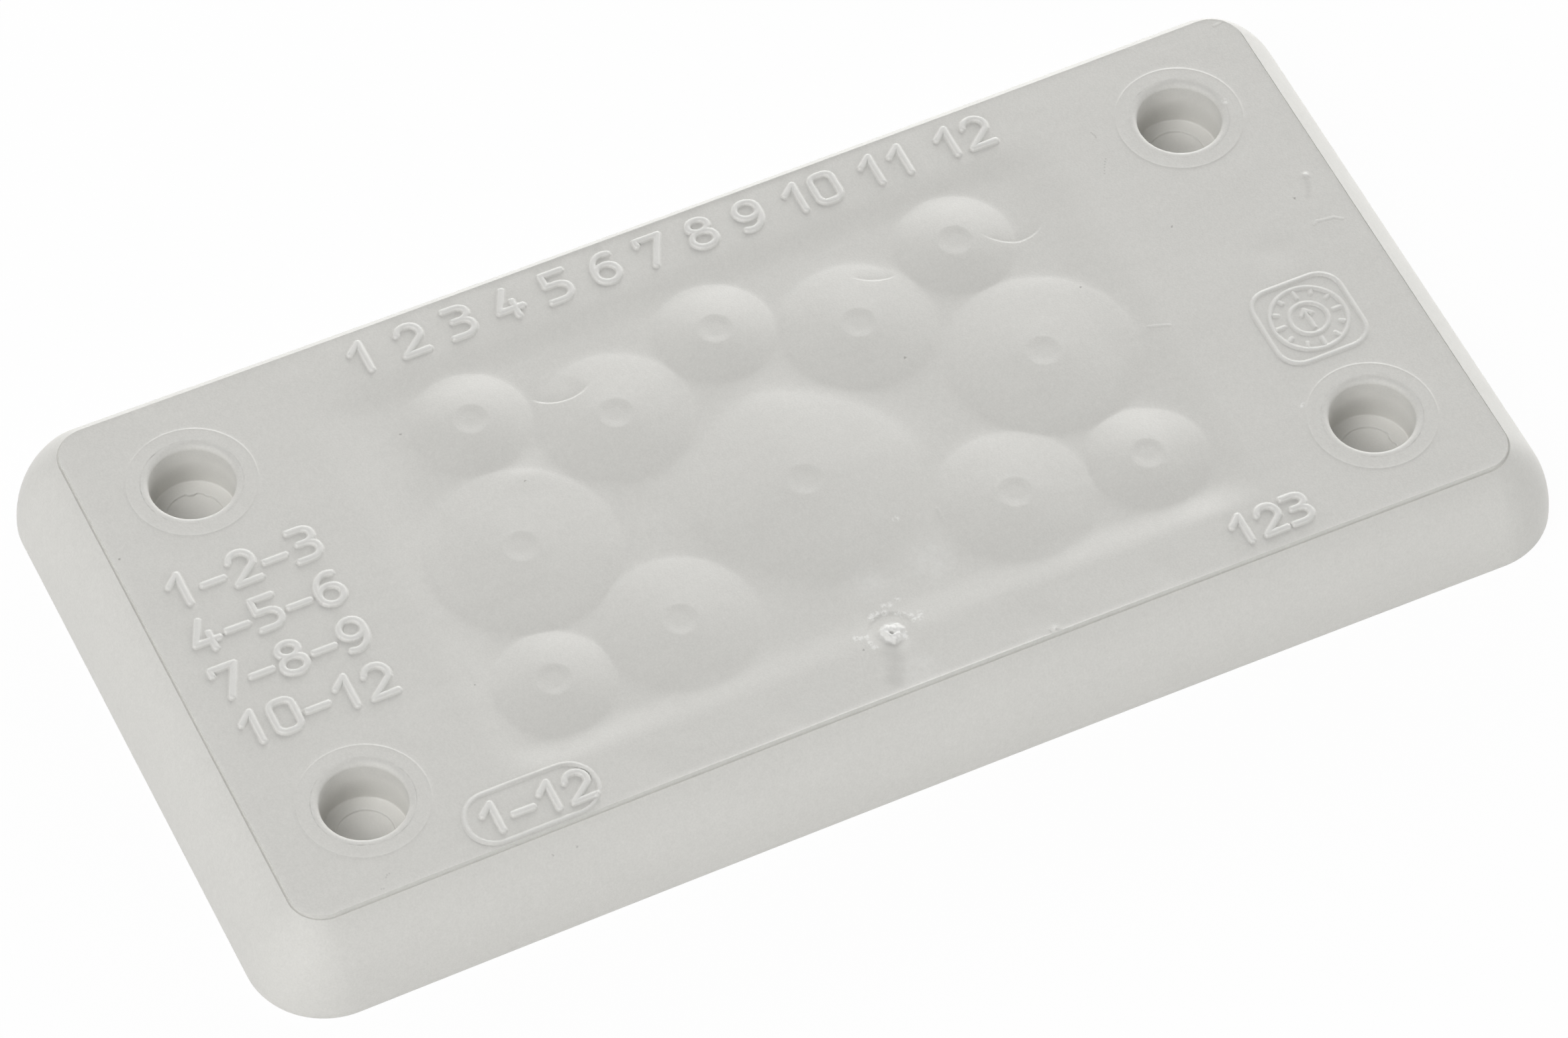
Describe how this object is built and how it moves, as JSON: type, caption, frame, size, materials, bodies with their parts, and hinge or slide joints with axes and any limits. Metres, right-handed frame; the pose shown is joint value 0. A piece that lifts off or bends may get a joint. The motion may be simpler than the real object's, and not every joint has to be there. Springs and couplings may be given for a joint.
{
  "type": "cable entry plate",
  "caption": "Rectangular moulded entry plate with a cushion-shaped edge, domed pierceable cable membranes in a sunken field and counterbored screw holes near its corners.",
  "frame": {"origin": "centre of the plate's footprint, on the plane of its open underside", "axes": "+Z out of the panel, through the flat face; +X along the long side; +Y towards the row of small membranes"},
  "size_m": [0.1068, 0.0556, 0.0086],
  "materials": {
    "plastic": "matte light grey, fine moulded grain"
  },
  "bodies": {
    "root": {"cable_entry_plate": "plastic"}
  },
  "joints": []
}
